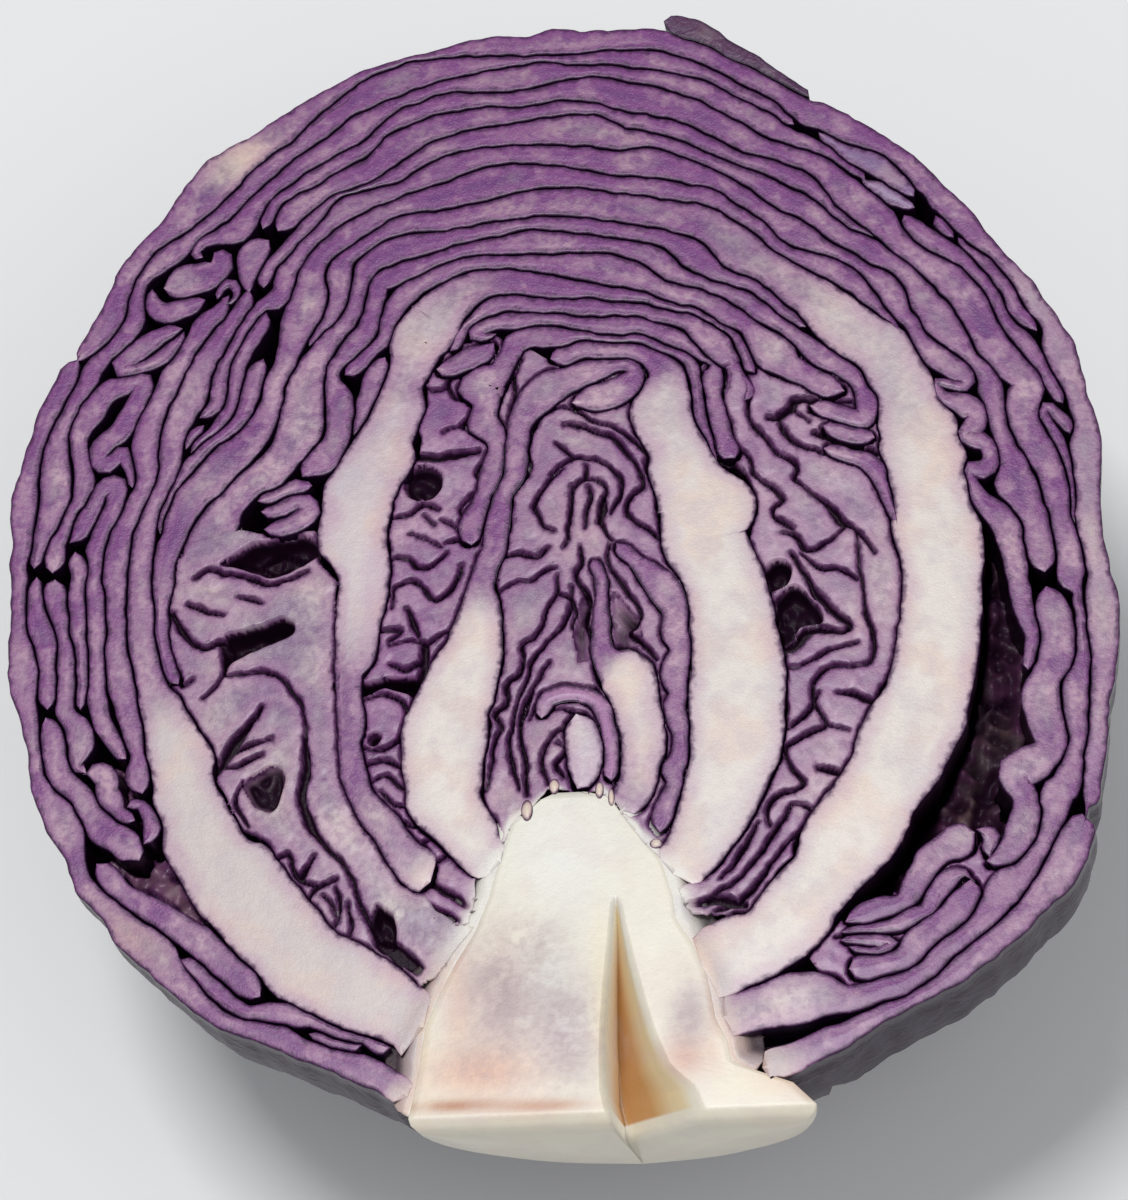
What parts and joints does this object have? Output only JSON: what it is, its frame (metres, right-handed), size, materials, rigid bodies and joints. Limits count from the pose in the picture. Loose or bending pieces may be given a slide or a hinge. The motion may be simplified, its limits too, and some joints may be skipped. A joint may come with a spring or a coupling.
{
  "type": "halved red cabbage",
  "caption": "Half of a red cabbage cut through the stem, lying cut face up: nested crinkled leaves with white ribs round a tapering core.",
  "frame": {"origin": "centre of the bounding box in X and Y, on the surface that the rounded back rests on", "axes": "+Y from the stem end to the crown, +Z square out of the cut face, +X to the right as the cut face is read with the crown away from the reader"},
  "size_m": [0.1512, 0.1606, 0.0735],
  "materials": {
    "outer_skin": "waxy bloom over dark purple skin",
    "leaf_blade": "moist cut edge, purple at both skins and pale inside",
    "ribbed_leaf": "moist, crisp white rib with magenta margins",
    "heart_leaf": "moist, thin, tightly crinkled",
    "core_flesh": "moist ivory flesh, browned at the dry crack"
  },
  "bodies": {
    "root": {"core": "core_flesh", "heart_bud": "heart_leaf", "torn_leaf_scrap": "outer_skin", "top_wrapper_leaf": "outer_skin", "left_wrapper_leaf": "outer_skin", "right_wrapper_leaf": "outer_skin", "lower_left_leaf": "leaf_blade", "head_leaf_01": "leaf_blade", "head_leaf_02": "leaf_blade", "head_leaf_03": "leaf_blade", "head_leaf_04": "leaf_blade", "head_leaf_05": "leaf_blade", "head_leaf_06": "ribbed_leaf", "head_leaf_07": "leaf_blade", "left_fold_leaf": "leaf_blade", "head_leaf_08": "ribbed_leaf", "head_leaf_09": "leaf_blade", "head_leaf_10": "leaf_blade", "head_leaf_11": "ribbed_leaf", "head_leaf_12": "ribbed_leaf", "head_leaf_13": "heart_leaf", "head_leaf_14": "heart_leaf", "head_leaf_15": "heart_leaf", "head_leaf_16": "ribbed_leaf", "heart_leaf_1": "ribbed_leaf", "heart_leaf_2": "heart_leaf", "heart_leaf_3": "heart_leaf", "heart_leaf_4": "ribbed_leaf", "heart_leaf_5": "heart_leaf"}
  },
  "joints": []
}
